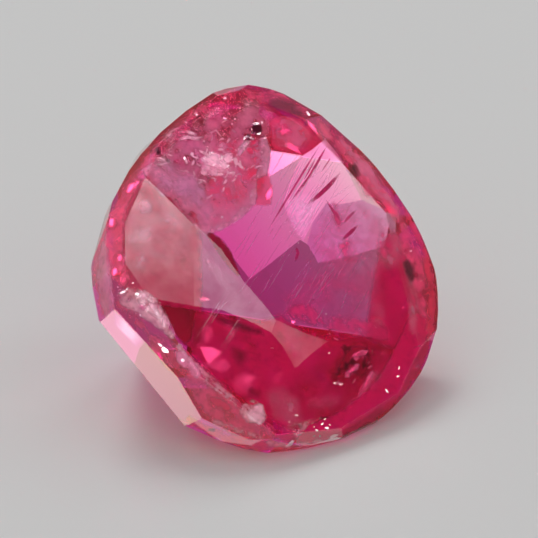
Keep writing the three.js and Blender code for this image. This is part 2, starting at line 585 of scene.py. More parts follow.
# Reflectors low on the left, which the side facets mirror.
for name, radiance, tint, seed, outline in (
    ("side_upper", 3.2, (1.25, 1.0, 0.93), (130, 340), [(96, 322), (118, 300), (134, 322), (146, 336), (139, 352), (132, 368), (112, 348)]),
    ("side_glint", 5.4, (1.2, 0.95, 1.02), (130, 340), [(113, 314), (123, 317), (134, 327), (142, 341), (137, 347), (127, 339), (117, 328)]),
    ("side_lower", [2.2, 2.2, 2.2, 1.85, 1.5, 2.1, 2.2], (1.1, 1.35, 0.85), (165, 380), [(146, 336), (139, 352), (132, 368), (190, 432), (215, 428), (192, 390), (172, 365)]),
    ("side_foot", 1.0, (1.2, 1.0, 0.95), (225, 432), [(190, 420), (215, 412), (290, 440), (285, 452), (230, 448)]),
):
    over = name == "side_glint"
    card(name, [off_plane(x, y, *facet_at(*seed), level=0.014 if over else 0.01) for x, y in outline], radiance, "gloss", tint, rim=3.2 if over else None)


# Dark cards low on the right, which the crown's facets mirror there.
for name, radiance, seed, outline in (
    ("rim_dark_a", 0.15, (424, 300), [(392, 190), (440, 190), (445, 400), (392, 400)]),
    ("rim_dark_b", 0.2, (385, 182), [(330, 110), (440, 110), (440, 250), (330, 230)]),
    ("rim_dark_c", 0.2, (320, 115), [(270, 80), (350, 80), (350, 150), (270, 150)]),
):
    card(name, [off_plane(x, y, *facet_at(*seed), reach=8) for x, y in outline], radiance, "gloss")

for name, radiance, seed, outline in (
    ("rim_dark_d", 0.12, (420, 345), [(404, 300), (438, 300), (438, 372), (404, 372)]),
    ("rim_dark_e", 0.12, (405, 385), [(384, 340), (438, 340), (410, 416), (366, 416)]),
    ("rim_dark_f", 0.12, (370, 420), [(340, 396), (412, 372), (400, 430), (340, 446)]),
    ("rim_foot", 0.8, (330, 436), [(296, 420), (350, 410), (350, 446), (296, 452)]),
    ("rim_dark_g", 0.12, (200, 108), [(120, 190), (150, 130), (196, 88), (226, 80), (232, 112), (200, 130), (160, 170)]),
    ("rim_dark_h", 0.12, (250, 94), [(226, 78), (300, 74), (312, 112), (262, 114), (226, 114)]),
):
    point, face = facet_at(*seed)
    down = mirrored((point * MM - camera.location).normalized(), face).z < -0.1
    where = {"level": 0.012} if down else {"reach": 8}
    card(name, [off_plane(x, y, point, face, **where) for x, y in outline], radiance, "gloss")

# A pale sheet right under the resting facet.
sole = [v.co for v in ruby_node.data.vertices if v.co.z < 0.002 * MM]
centre = sum(sole, Vector()) / len(sole)
sole.sort(key=lambda v: math.atan2(v.y - centre.y, v.x - centre.x))
card("sole", [Vector((v.x, v.y, GAP / 2)) for v in sole], 0.5, "glass")


def sky_card(name, azimuth, elevation, distance, width, height, radiance, seen_by):
    """A reflector that faces the stone."""
    way = direction(azimuth, elevation)
    across = way.cross(Vector((0, 0, 1))).normalized() * width / 2
    up = across.cross(way).normalized() * height / 2
    middle = MIDDLE + way * distance
    return card(name, [middle - across - up, middle + across - up, middle + across + up, middle - across + up], radiance, seen_by)


def sky_patch(name, azimuths, elevations, radiance, seen_by, distance=0.1, tint=(1, 1, 1)):
    """A reflector that is a patch of a sphere round the stone."""
    (a0, a1), (e0, e1) = azimuths, elevations
    n = max(2, round((a1 - a0) / 10))
    corners = [MIDDLE + direction(a0 + (a1 - a0) * k / n, e0) * distance for k in range(n + 1)]
    corners += [MIDDLE + direction(a1 - (a1 - a0) * k / n, e1) * distance for k in range(n + 1)]
    faces = [[k, k + 1, 2 * n - k, 2 * n + 1 - k] for k in range(n)]
    obj = card(name, corners, radiance, seen_by, tint)
    obj.data.clear_geometry()
    obj.data.from_pydata([tuple(c) for c in corners], [], faces)
    layer = obj.data.attributes.new("radiance", "FLOAT", "POINT")
    layer.data.foreach_set("value", [radiance] * len(corners))
    return obj


sky_card("front", -91, 40, 0.1, 0.06, 0.04, 0.95, "glass")
# What the view ends on by way of single pavilion facets.
for name, radiance, seed, reach, outline, tint in (
    ("deep_left", 0.2, (180, 312), 5, [(150, 298), (194, 303), (194, 324), (188, 346), (176, 338)], (1, 0.3, 0.2)),
    ("deep_glow", 0.8, (245, 380), 8, [(222, 366), (252, 366), (262, 384), (250, 398), (232, 392)], (1, 1, 1)),
    ("top_red", 1.0, (290, 132), 8, [(268, 116), (300, 122), (312, 134), (306, 152), (274, 148)], (1, 1, 1)),
    ("left_red", 0.85, (180, 185), 8, [(150, 176), (172, 150), (205, 150), (230, 176), (204, 220), (190, 214)], (1, 1, 1)),
):
    met = route(*seed)
    card(name, [beyond(met, x, y, reach) for x, y in outline], radiance, "glass", tint)

# Lights for what is sealed in the stone: the cut itself turns none of the photographed view to them.
sky_patch("scatter_top", (-98, -12), (58, 78), 9.0, "glass")


# ---------------------------------------------------------------- what is sealed in the stone
rng = random.Random(11)


def smooth_step(x):
    x = min(max(x, 0.0), 1.0)
    return x * x * (3 - 2 * x)


def from_outline(x, y, outline):
    """How far pixel (x, y) is from the outline of a polygon of pixels, and whether it is in it."""
    near, within = 1e9, False
    for (ax, ay), (bx, by) in zip(outline, outline[1:] + outline[:1]):
        dx, dy = bx - ax, by - ay
        t = min(max(((x - ax) * dx + (y - ay) * dy) / (dx * dx + dy * dy), 0), 1)
        near = min(near, math.hypot(x - ax - t * dx, y - ay - t * dy))
        if (ay > y) != (by > y) and x < ax + (y - ay) / dy * dx:
            within = not within
    return near, within


def filled(outline, step):
    """Points and triangles that fill a polygon of pixels, with the points about `step` pixels apart."""
    rim = []
    for (ax, ay), (bx, by) in zip(outline, outline[1:] + outline[:1]):
        n = max(1, round(math.hypot(bx - ax, by - ay) / step))
        rim += [(ax + (bx - ax) * k / n, ay + (by - ay) * k / n) for k in range(n)]
    points = list(rim)
    left, right = min(x for x, _ in outline), max(x for x, _ in outline)
    low, high = min(y for _, y in outline), max(y for _, y in outline)
    row, y = 0, low
    while y < high:
        x = left + (row % 2) * step / 2
        while x < right:
            px, py = x + rng.uniform(-0.3, 0.3) * step, y + rng.uniform(-0.3, 0.3) * step
            near, within = from_outline(px, py, outline)
            if within and near > step * 0.45:
                points.append((px, py))
            x += step
        row, y = row + 1, y + step * 0.87
    made = delaunay_2d_cdt([Vector(p) for p in points], [], [list(range(len(rim)))], 1, 1e-4)
    return [tuple(v) for v in made[0]], [list(f) for f in made[2]]


def closed_sheet(front, back, triangles):
    """Vertices and faces of a thin closed body with the same triangles on both sides."""
    n = len(front)
    edges = {}
    for a, b, c in triangles:
        for e in ((a, b), (b, c), (c, a)):
            edges[e] = edges.get(e, 0) + 1
    faces = [list(t) for t in triangles] + [[c + n, b + n, a + n] for a, b, c in triangles]
    faces += [[b, a, a + n, b + n] for a, b in edges if (b, a) not in edges]
    return front + back, faces


def turned_out(verts, faces):
    """The faces of a closed body, turned round if they face inwards."""
    ox, oy, oz = verts[0]
    at = [((x - ox) / MM, (y - oy) / MM, (z - oz) / MM) for x, y, z in verts]
    volume = 0.0
    for face in faces:
        ax, ay, az = at[face[0]]
        for i, j in zip(face[1:], face[2:]):
            (bx, by, bz), (cx, cy, cz) = at[i], at[j]
            volume += ax * (by * cz - bz * cy) + ay * (bz * cx - bx * cz) + az * (bx * cy - by * cx)
    return faces if volume > 0 else [list(reversed(face)) for face in faces]


class Pile:
    """Collects the bodies of one kind of inclusion into one mesh."""

    def __init__(self):
        self.verts, self.faces, self.fade = [], [], []

    def add(self, verts, faces, fade=None):
        n = len(self.verts)
        self.verts += [held_inside(v) for v in verts]
        self.faces += [[i + n for i in f] for f in turned_out(verts, faces)]
        self.fade += list(fade) if fade else [1.0] * len(verts)

    def build(self, name, material, smooth=False):
        obj = new_mesh(name, self.verts, self.faces, material)
        layer = obj.data.attributes.new("fade", "FLOAT", "POINT")
        layer.data.foreach_set("value", self.fade)
        obj.data.polygons.foreach_set("use_smooth", [smooth] * len(obj.data.polygons))
        if smooth:
            obj.data.set_sharp_from_angle(angle=math.radians(50))
        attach(obj, "root")
        return obj


def film(pile, outline, depth, step=4.0, crumple=0.0, grain=8.0, soft=8.0, thickness=0.004, strength=1.0, seed_facet=None):
    """A crack or cloud, thin and a little crumpled, that fills a polygon of pixels at a depth (mm).

    It is seen through whatever facets the pixels show, or all of it through the one at seed_facet.
    """
    at = (lambda x, y, d: under(x, y, d, seed_facet)) if seed_facet else inside
    points, triangles = filled(outline, step)
    seed = rng.uniform(0, 50)
    front, back, fade = [], [], []
    for x, y in points:
        d = depth(x, y) if callable(depth) else depth
        d += crumple * noise.noise(Vector((x / grain, y / grain, seed)))
        d = max(d, 0.02)
        front.append(at(x, y, d))
        back.append(at(x, y, d + thickness))
        fade.append(strength * smooth_step(from_outline(x, y, outline)[0] / soft) if soft else strength)
    pile.add(*closed_sheet(front, back, triangles), fade + fade)


def plate(pile, outline, depth, azimuth=-50, elevation=67, wobble=0.0, thickness=0.004, strength=1.0, soft=False):
    """A flat crystal plate that shows as a polygon of pixels and mirrors what lies that way outside the stone."""
    cx = sum(x for x, _ in outline) / len(outline)
    cy = sum(y for _, y in outline) / len(outline)
    origin, _, face = entry(cx, cy)
    middle = inside(cx, cy, depth) / MM

    def sight(x, y):
        way = (photo_point(x, y) - camera.location).normalized()
        start = camera.location / MM
        return start + way * ((origin - start).dot(face) / way.dot(face)), refracted(way, face, 1 / IOR)

    light = -refracted(-direction(azimuth, elevation), face, 1 / IOR)
    normal = (light - sight(cx, cy)[1]).normalized()
    if wobble:
        normal = (normal + Vector([rng.gauss(0, wobble) for _ in range(3)])).normalized()
    front = []
    n = len(outline)
    scales = (1.0, 0.7, 0.35) if soft else (1.0,)
    for scale in scales:
        for x, y in outline:
            start, way = sight(cx + (x - cx) * scale, cy + (y - cy) * scale)
            front.append((start + way * ((middle - start).dot(normal) / way.dot(normal))) * MM)
    back = [v - normal * thickness * MM for v in front]
    total, last = len(front), len(front) - n
    faces = [list(range(last, total)), list(range(2 * total - 1, total + last - 1, -1))]
    for i in range(n):
        j = (i + 1) % n
        faces.append([j, i, i + total, j + total])
        for k in range(0, last, n):
            faces.append([k + i, k + j, k + n + j, k + n + i])
            faces.append([total + k + n + i, total + k + n + j, total + k + j, total + k + i])
    fades = [strength * (1 if not soft else (0, 0.45, 1)[k // n]) for k in range(total)]
    pile.add(front + back, faces, fades + fades)


def fleck(x, y, size, aspect=1.0, turn=None):
    """A small irregular polygon of pixels."""
    turn = rng.uniform(0, math.pi) if turn is None else math.radians(turn)
    n = rng.choice((4, 5, 5, 6))
    out = []
    for k in range(n):
        a = 2 * math.pi * (k + rng.uniform(-0.25, 0.25)) / n
        r = size * rng.uniform(0.75, 1.2)
        u, v = r * aspect * math.cos(a), r * math.sin(a) / aspect
        out.append((x + u * math.cos(turn) + v * math.sin(turn), y - u * math.sin(turn) + v * math.cos(turn)))
    return out


def oval(x, y, across, along, turn):
    """An uneven oval of pixels, `along` by `across`."""
    a = math.radians(turn)
    outline = []
    for k in range(14):
        b = 2 * math.pi * k / 14
        u, v = along / 2 * math.cos(b) * rng.uniform(0.85, 1.15), across / 2 * math.sin(b) * rng.uniform(0.85, 1.15)
        outline.append((x + u * math.cos(a) + v * math.sin(a), y - u * math.sin(a) + v * math.cos(a)))
    return outline


def blob(pile, x, y, across, along, turn, depth=0.09, strength=1.0):
    """A soft-edged spot."""
    outline = oval(x, y, across, along, turn)
    film(pile, outline, depth, step=max(1.4, across / 5), soft=across * 0.45, strength=strength)


def crystal(pile, x, y, depth, length, width, turn):
    """A small crystal grain, `length` by `width` pixels, `turn` degrees up from the right, at a depth (mm)."""
    middle = inside(x, y, depth)
    a = math.radians(turn)
    along = RIGHT * math.cos(a) + UP * math.sin(a)
    across = along.cross(TO_CAMERA)
    rings = []
    sides = 6
    for k, (t, w) in enumerate(((-1, 0.18), (-0.62, 0.85), (0.1, 1.0), (0.68, 0.75), (1, 0.15))):
        ring = []
        for i in range(sides):
            b = 2 * math.pi * i / sides + 0.3
            r = width / 2 * w * rng.uniform(0.6, 1.3)
            ring.append(middle + (along * (t * length / 2) + across * (r * math.cos(b)) + TO_CAMERA * (r * math.sin(b))) * PX)
        rings.append(ring)
    verts = [v for ring in rings for v in ring]
    faces = [list(range(sides - 1, -1, -1)), list(range(4 * sides, 5 * sides))]
    for k in range(4):
        for i in range(sides):
            j = (i + 1) % sides
            faces.append([k * sides + i, k * sides + j, (k + 1) * sides + j, (k + 1) * sides + i])
    pile.add(verts, faces)


def thread(pile, path, depth, width, strength=1.0, taper=0.25, step=4.0):
    """A needle or fine crack along a path of pixels, `width` pixels across, that thins out towards its ends."""
    points = [path[0]]
    for (ax, ay), (bx, by) in zip(path, path[1:]):
        n = max(1, round(math.hypot(bx - ax, by - ay) / step))
        points += [(ax + (bx - ax) * k / n, ay + (by - ay) * k / n) for k in range(1, n + 1)]
    last = len(points) - 1
    verts, fade = [], []
    for k, (x, y) in enumerate(points):
        t = k / last
        end = smooth_step(min(t, 1 - t) / taper)
        w = width / 2 * (0.3 + 0.7 * end)
        (ax, ay), (bx, by) = points[max(k - 1, 0)], points[min(k + 1, last)]
        length = math.hypot(bx - ax, by - ay)
        nx, ny = -(by - ay) / length, (bx - ax) / length
        for side, drop in ((-1, 0), (1, 0), (0, w * PX / MM)):
            verts.append(inside(x + nx * w * side, y + ny * w * side, depth + drop))
            fade.append(strength * (0.1 + 0.9 * end))
    faces = [[0, 1, 2], [3 * last + 2, 3 * last + 1, 3 * last]]
    for k in range(last):
        for i in range(3):
            j = (i + 1) % 3
            faces.append([3 * k + j, 3 * k + i, 3 * k + 3 + i, 3 * k + 3 + j])
    pile.add(verts, faces, fade)


def squiggle(x, y, length, turn, bend=0.8):
    """A short wandering path of pixels."""
    a = math.radians(turn)
    path = [(x, y)]
    step = 2.6
    for _ in range(max(3, round(length / step))):
        a += rng.gauss(0, bend) * 0.5
        path.append((path[-1][0] + step * math.cos(a), path[-1][1] - step * math.sin(a)))
    return path


def inclusion_material(name, color, alpha=1.0, grain=None, clear=0.4, full=0.65, metallic=0.0, roughness=0.4, detail=3.0):
    """Its alpha fades with the mesh's own `fade` and, with a grain (mm), is broken up by noise.

    A ray that is inside one of the thin bodies leaves it freely: the side it came in by stands for both.
    """
    material = principled(name, Base_Color=color, Metallic=metallic, Roughness=roughness, Specular_IOR_Level=0.5 if metallic else 0.0)
    nodes, links = material.node_tree.nodes, material.node_tree.links
    shader = nodes["Principled BSDF"]
    fade = nodes.new("ShaderNodeAttribute")
    fade.attribute_name = "fade"
    times = nodes.new("ShaderNodeMath")
    times.operation = "MULTIPLY"
    times.inputs[1].default_value = alpha
    links.new(fade.outputs["Fac"], times.inputs[0])
    out = times.outputs[0]
    if grain:
        place = nodes.new("ShaderNodeTexCoord")
        cloud = nodes.new("ShaderNodeTexNoise")
        cloud.inputs["Scale"].default_value = 1 / (grain * MM)
        cloud.inputs["Detail"].default_value = detail
        cloud.inputs["Roughness"].default_value = 0.6
        levels = nodes.new("ShaderNodeMapRange")
        levels.interpolation_type = "SMOOTHSTEP"
        levels.inputs["From Min"].default_value = clear
        levels.inputs["From Max"].default_value = full
        both = nodes.new("ShaderNodeMath")
        both.operation = "MULTIPLY"
        links.new(place.outputs["Object"], cloud.inputs["Vector"])
        links.new(cloud.outputs["Fac"], levels.inputs["Value"])
        links.new(levels.outputs["Result"], both.inputs[0])
        links.new(out, both.inputs[1])
        out = both.outputs[0]

    def math_node(operation, a, b):
        node = nodes.new("ShaderNodeMath")
        node.operation = operation
        for socket, value in zip(node.inputs, (a, b)):
            if isinstance(value, (int, float)):
                socket.default_value = value
            else:
                links.new(value, socket)
        return node.outputs[0]

    clear_part = math_node("SUBTRACT", 1.0, out)
    both_sides = math_node("SUBTRACT", 1.0, math_node("MULTIPLY", clear_part, clear_part))
    geometry = nodes.new("ShaderNodeNewGeometry")
    entering = math_node("SUBTRACT", 1.0, geometry.outputs["Backfacing"])
    links.new(math_node("MULTIPLY", both_sides, entering), shader.inputs["Alpha"])
    return material


# Deep red clouds that soften the reflections below the veil, in the lower half and round the edge.
red = Pile()
film(red, [(121, 212), (126, 198), (136, 182), (142, 176), (172, 194), (203, 226), (204, 313), (150, 305), (128, 292), (119, 264), (118, 230)], 0.35, step=6, crumple=0.05, grain=30, soft=4, strength=1.1, seed_facet=(160, 240))
red.build("left_cloud", inclusion_material("left_cloud", (0.66, 0.014, 0.13), alpha=0.82, grain=0.5, clear=0.1, full=0.6, roughness=0.8, detail=4), smooth=True)

red = Pile()
film(red, [(172, 303), (206, 308), (232, 316), (262, 318), (280, 312), (306, 328), (338, 334), (372, 332), (418, 336), (416, 372), (376, 420), (336, 436), (300, 438), (262, 418), (228, 392), (200, 368), (178, 346)], 0.55, step=7, crumple=0.25, grain=30, soft=9, strength=0.85)
film(red, [(412, 308), (430, 318), (432, 352), (416, 384), (396, 406), (370, 426), (344, 438), (312, 446), (292, 444), (308, 424), (336, 412), (356, 398), (374, 380), (390, 356), (400, 334)], 0.06, step=5, crumple=0.03, grain=20, soft=4, strength=1.2)
film(red, [(362, 340), (369, 290), (378, 242), (394, 226), (418, 250), (426, 296), (424, 340), (404, 356)], 0.3, step=5, crumple=0.05, grain=20, soft=8, strength=0.9)
film(red, [(204, 392), (222, 396), (238, 408), (228, 416), (208, 406)], 0.1, step=3, soft=5, strength=0.6)
red.build("red_cloud", inclusion_material("red_cloud", (0.77, 0.011, 0.17), alpha=0.82, grain=0.5, clear=0.05, full=0.6, roughness=0.8, detail=4), smooth=True)

# Dark patches. The first and fourth, below the veil on the left, are painted shade where the stone reflects its dark
# surroundings. The others are a dark cloud round the crystals low on the right, a maroon sliver, and a faint darker
# mottling over the lower right.
shade = Pile()
film(shade, [(158, 298), (176, 300), (195, 304), (196, 318), (192, 340), (184, 346), (174, 334), (166, 316)], 0.45, step=4, crumple=0.05, grain=20, soft=4, strength=1.25)
film(shade, [(324, 382), (332, 362), (340, 346), (352, 338), (368, 338), (378, 352), (376, 374), (366, 386), (350, 380), (336, 388)], 0.16, step=3.5, crumple=0.03, grain=8, soft=13, strength=0.6)
film(shade, [(203, 231), (214, 233), (224, 240), (232, 252), (238, 268), (245, 284), (230, 270), (216, 251)], 0.1, step=2.5, soft=1.5, strength=0.95)
film(shade, [(184, 306), (206, 309), (213, 324), (205, 346), (192, 350), (184, 330)], 0.3, step=3, crumple=0.03, grain=10, soft=11, strength=0.28)
film(shade, [(282, 372), (330, 352), (398, 346), (404, 378), (378, 408), (330, 430), (292, 432), (262, 408)], 0.2, step=5, crumple=0.04, grain=20, soft=14, strength=0.1)
shade.build("dark_cloud_and_painted_shade", inclusion_material("dark_cloud_and_painted_shade", (0.42, 0.006, 0.05), alpha=0.85, grain=0.5, clear=0.05, full=0.5, roughness=0.8, detail=4), smooth=True)

# A crimson tinge over the lower right of the window, with an uneven red edge along its foot.
tinge = Pile()
film(tinge, [(316, 214), (334, 198), (362, 196), (392, 218), (396, 260), (388, 300), (352, 322), (318, 312), (296, 318), (278, 300), (300, 276), (318, 262), (306, 240)], 0.2, step=6, crumple=0.04, grain=20, soft=14, strength=0.36)
film(tinge, [(276, 318), (284, 309), (292, 303), (304, 299), (312, 303), (322, 312), (336, 314), (352, 312), (364, 318), (378, 316), (390, 326), (392, 344), (362, 340), (334, 334), (306, 326)], 0.12, step=4, crumple=0.03, grain=12, soft=7, strength=0.85)
film(tinge, [(338, 250), (344, 238), (354, 240), (350, 252), (360, 258), (352, 264), (340, 260)], 0.12, step=3, soft=7, strength=0.9)
film(tinge, [(376, 232), (386, 226), (392, 242), (390, 262), (380, 268), (374, 250)], 0.12, step=3, soft=7, strength=1.2)
film(tinge, [(330, 196), (338, 204), (344, 224), (338, 232), (330, 216)], 0.15, step=3, soft=4, strength=0.8)
tinge.build("crimson_tinge", inclusion_material("crimson_tinge", (0.9, 0.05, 0.26), alpha=0.6, grain=0.4, clear=0.3, full=0.62, roughness=0.8, detail=5), smooth=True)

# Upper left: a pink haze, crumpled healed cracks that glitter in it, and its grey rim.
haze = Pile()
film(haze, [(146, 176), (152, 160), (170, 140), (192, 121), (222, 103), (258, 97), (284, 108), (276, 125), (270, 150), (266, 178), (256, 206), (236, 226), (210, 238), (196, 226), (172, 200)], 0.12, step=7, crumple=0.05, grain=30, soft=12, strength=0.62)
film(haze, [(197, 158), (208, 150), (226, 152), (233, 164), (226, 176), (208, 178), (198, 172)], 0.07, step=4, crumple=0.03, grain=20, soft=10, strength=1.2)
film(haze, [(150, 172), (172, 166), (196, 176), (206, 190), (204, 212), (190, 216), (172, 198), (158, 184)], 0.06, step=5, crumple=0.03, grain=20, soft=8, strength=0.9)
film(haze, [(137, 202), (146, 196), (155, 205), (151, 216), (140, 214)], 0.05, step=3, soft=4, strength=0.95)
film(haze, [(158, 218), (170, 212), (182, 222), (178, 236), (164, 234)], 0.05, step=3, soft=7, strength=0.5)
film(haze, [(132, 256), (146, 250), (154, 262), (144, 274), (134, 270)], 0.05, step=3, soft=7, strength=0.4)
film(haze, [(196, 238), (204, 242), (220, 266), (232, 290), (224, 292), (206, 268), (196, 252)], 0.04, step=3, soft=5, strength=0.35)
film(haze, [(124, 236), (136, 228), (150, 226), (158, 236), (146, 244), (130, 246)], 0.08, step=3, soft=6, strength=0.45)
film(haze, [(330, 128), (352, 142), (374, 165), (394, 196), (410, 228), (404, 234), (388, 208), (370, 193), (354, 170), (340, 149)], 0.04, step=4, crumple=0.01, soft=6, strength=0.5)
film(haze, [(400, 250), (410, 262), (420, 300), (418, 340), (408, 330), (406, 290)], 0.04, step=4, crumple=0.01, soft=6, strength=0.35)
film(haze, [(140, 168), (154, 160), (182, 182), (214, 222), (210, 240), (192, 226), (168, 200), (146, 182)], 0.04, step=4, crumple=0.01, soft=5, strength=1.0)
film(haze, [(124, 212), (146, 182), (170, 202), (194, 226), (194, 260), (170, 268), (140, 262), (122, 246)], 0.06, step=5, crumple=0.01, soft=10, strength=0.22)
film(haze, [(374, 212), (390, 210), (402, 232), (406, 252), (398, 270), (384, 274), (374, 266), (376, 246)], 0.05, step=4, crumple=0.01, soft=10, strength=0.45)
film(haze, [(94, 262), (102, 238), (110, 250), (114, 290), (116, 306), (106, 322), (98, 300)], 0.04, step=3, soft=3, strength=0.85)
film(haze, [(262, 392), (278, 382), (300, 396), (306, 420), (290, 432), (272, 420)], 0.1, step=4, crumple=0.02, soft=10, strength=0.32)
film(haze, [(304, 398), (330, 388), (344, 396), (340, 412), (318, 420), (304, 412)], 0.12, step=4, crumple=0.03, grain=14, soft=11, strength=0.11)
film(haze, [(366, 374), (384, 358), (396, 350), (400, 362), (388, 382), (372, 396)], 0.05, step=4, crumple=0.01, soft=8, strength=0.16)
film(haze, [(372, 286), (384, 284), (388, 312), (382, 336), (372, 326)], 0.1, step=4, crumple=0.02, soft=6, strength=0.2)
film(haze, [(180, 352), (196, 364), (216, 386), (206, 390), (188, 376)], 0.03, step=3, soft=5, strength=0.2)
film(haze, [(270, 120), (284, 114), (302, 120), (316, 134), (306, 150), (284, 152), (272, 144)], 0.08, step=4, crumple=0.02, soft=7, strength=0.45)
film(haze, [(126, 178), (154, 142), (184, 112), (206, 99), (212, 106), (200, 118), (180, 140), (158, 166), (144, 188)], 0.03, step=4, crumple=0.008, soft=5, strength=0.08)
haze.build("haze", inclusion_material("haze", (1.0, 0.5, 0.73), alpha=0.65, grain=0.4, clear=0.2, full=0.75, roughness=0.8, detail=5), smooth=True)

lilac = Pile()
film(lilac, [(146, 168), (160, 158), (176, 158), (196, 172), (208, 190), (204, 208), (190, 208), (170, 192), (152, 180)], 0.035, step=4, crumple=0.01, soft=9, strength=0.7)
film(lilac, [(170, 350), (184, 349), (198, 365), (207, 380), (194, 380), (178, 366)], 0.04, step=3, soft=4, strength=1.05)
film(lilac, [(186, 190), (202, 184), (214, 198), (216, 214), (204, 222)], 0.03, step=3, soft=5, strength=0.6)
film(lilac, [(236, 156), (239, 147), (246, 140), (252, 140), (246, 149), (240, 158)], 0.03, step=2, soft=1.5, strength=1.0)
film(lilac, [(284, 222), (298, 196), (316, 200), (314, 222), (303, 244), (290, 234)], 0.05, step=3, soft=7, strength=0.45)
film(lilac, [(152, 186), (163, 180), (173, 190), (162, 199)], 0.03, step=2.5, soft=1.5, strength=0.5)
film(lilac, [(174, 192), (189, 187), (198, 199), (187, 208)], 0.03, step=2.5, soft=1.5, strength=0.55)
film(lilac, [(194, 214), (206, 208), (216, 222), (206, 231), (198, 226)], 0.03, step=2.5, soft=1.5, strength=0.4)
film(lilac, [(206, 176), (232, 170), (256, 178), (258, 200), (240, 214), (214, 208)], 0.045, step=4, soft=12, strength=0.28)
lilac.build("lilac_haze", inclusion_material("lilac_haze", (0.88, 0.52, 0.76), alpha=0.6, grain=0.22, clear=0.3, full=0.7, roughness=0.8, detail=5), smooth=True)

flesh = Pile()
film(flesh, [(208, 146), (240, 134), (268, 138), (272, 160), (266, 188), (250, 212), (226, 228), (200, 236), (190, 220), (196, 196), (208, 174)], 0.3, step=5, crumple=0.08, grain=20, soft=9, strength=0.8)
film(flesh, [(200, 178), (226, 172), (250, 180), (252, 202), (232, 214), (206, 210)], 0.1, step=4, crumple=0.03, grain=20, soft=12, strength=0.15)
film(flesh, [(266, 116), (300, 114), (322, 132), (340, 160), (304, 158), (270, 152)], 0.25, step=5, crumple=0.08, grain=20, soft=5, strength=0.7)
film(flesh, [(256, 178), (270, 172), (274, 190), (272, 207), (255, 206)], 0.09, step=3, soft=2, strength=0.6)
film(flesh, [(176, 406), (206, 424), (240, 434), (290, 444), (284, 454), (246, 456), (206, 438), (186, 424)], 0.05, step=5, soft=3, strength=0.8)
film(flesh, [(88, 258), (96, 226), (108, 206), (116, 214), (106, 240), (106, 280), (112, 310), (104, 326), (94, 300)], 0.05, step=5, soft=3, strength=0.6)
film(flesh, [(398, 196), (414, 212), (430, 246), (438, 290), (436, 330), (426, 352), (424, 330), (428, 290), (418, 250), (404, 216)], 0.05, step=4, soft=3, strength=0.6)
film(flesh, [(134, 184), (148, 178), (160, 192), (172, 206), (160, 216), (144, 212), (134, 204)], 0.05, step=3, soft=12, strength=0.2)
flesh.build("red_haze", inclusion_material("red_haze", (1.0, 0.1, 0.24), alpha=0.8, grain=0.35, clear=0.05, full=0.65, roughness=0.8, detail=5), smooth=True)

crack = Pile()
film(crack, [(170, 150), (178, 132), (200, 124), (226, 128), (236, 146), (236, 170), (222, 182), (196, 176), (180, 166)], 0.2, step=3.0, crumple=0.25, grain=8, soft=10)
film(crack, [(150, 164), (166, 150), (190, 152), (200, 172), (196, 192), (176, 198), (158, 184)], 0.22, step=3.0, crumple=0.22, grain=7, soft=8)
film(crack, [(228, 120), (252, 132), (268, 146), (264, 178), (250, 200), (232, 204), (222, 184), (236, 160)], 0.3, step=3.0, crumple=0.25, grain=8, soft=10)
film(crack, [(196, 200), (222, 190), (246, 204), (236, 222), (212, 234), (198, 222)], 0.2, step=3.0, crumple=0.2, grain=7, soft=7)
film(crack, [(140, 176), (160, 150), (186, 124), (214, 104), (246, 96), (268, 100), (262, 112), (232, 112), (204, 124), (178, 146), (158, 172)], 0.04, step=3.5, crumple=0.02, grain=8, soft=6, strength=0.18)
crack.build("healed_crack", inclusion_material("healed_crack", (1.0, 0.78, 0.88), alpha=0.85, grain=0.26, clear=0.4, full=0.72, metallic=0.75, roughness=0.45))

edge = Pile()
film(edge, [(258, 138), (266, 134), (272, 150), (268, 172), (264, 190), (256, 206), (242, 219), (222, 231), (206, 237), (198, 229), (222, 219), (240, 206), (252, 186), (258, 165)], 0.16, step=3.2, crumple=0.04, grain=5, soft=4)
film(edge, [(236, 155), (238, 146), (246, 139), (253, 138), (247, 148), (240, 157)], 0.12, step=3, soft=2)
edge.build("crack_rim", inclusion_material("crack_rim", (0.78, 0.58, 0.66), alpha=0.75, grain=0.12, clear=0.15, full=0.6, metallic=0.3, roughness=0.5))

# Fine white lines, feathers and glitter.
white = Pile()
for _ in range(34):
    x, y = rng.gauss(216, 13), rng.gauss(160, 9)
    thread(white, squiggle(x, y, rng.uniform(5, 13), rng.uniform(0, 360)), rng.uniform(0.05, 0.12), rng.uniform(1.2, 2.6), strength=rng.uniform(0.5, 1))
for _ in range(34):
    x, y = rng.gauss(205, 32), rng.gauss(165, 26)
    if 152 < x < 266 and 122 < y < 226 and y > 300 - 0.9 * x and y < 0.9 * x + 30:
        thread(white, squiggle(x, y, rng.uniform(4, 10), rng.uniform(-20, 60)), rng.uniform(0.05, 0.12), rng.uniform(1.0, 2.2), strength=rng.uniform(0.25, 0.7))
for path, width, strength in (
    ([(176, 133), (186, 131), (197, 135)], 3.0, 0.7),
    ([(178, 140), (188, 137), (201, 140)], 3.2, 0.6),
    ([(182, 136), (194, 138), (204, 137)], 2.0, 0.8),
    ([(152, 160), (160, 159), (171, 163)], 4.0, 0.6),
    ([(155, 165), (164, 164), (172, 167)], 2.2, 0.7),
    ([(209, 134), (216, 130), (222, 138)], 1.4, 0.5),
    ([(221, 150), (230, 156), (236, 163)], 1.4, 0.7),
    ([(228, 153), (222, 160), (228, 168)], 2.2, 0.8),
    ([(203, 152), (210, 157), (214, 154)], 1.6, 0.9),
):
    thread(white, path, 0.1, width, strength, step=3)
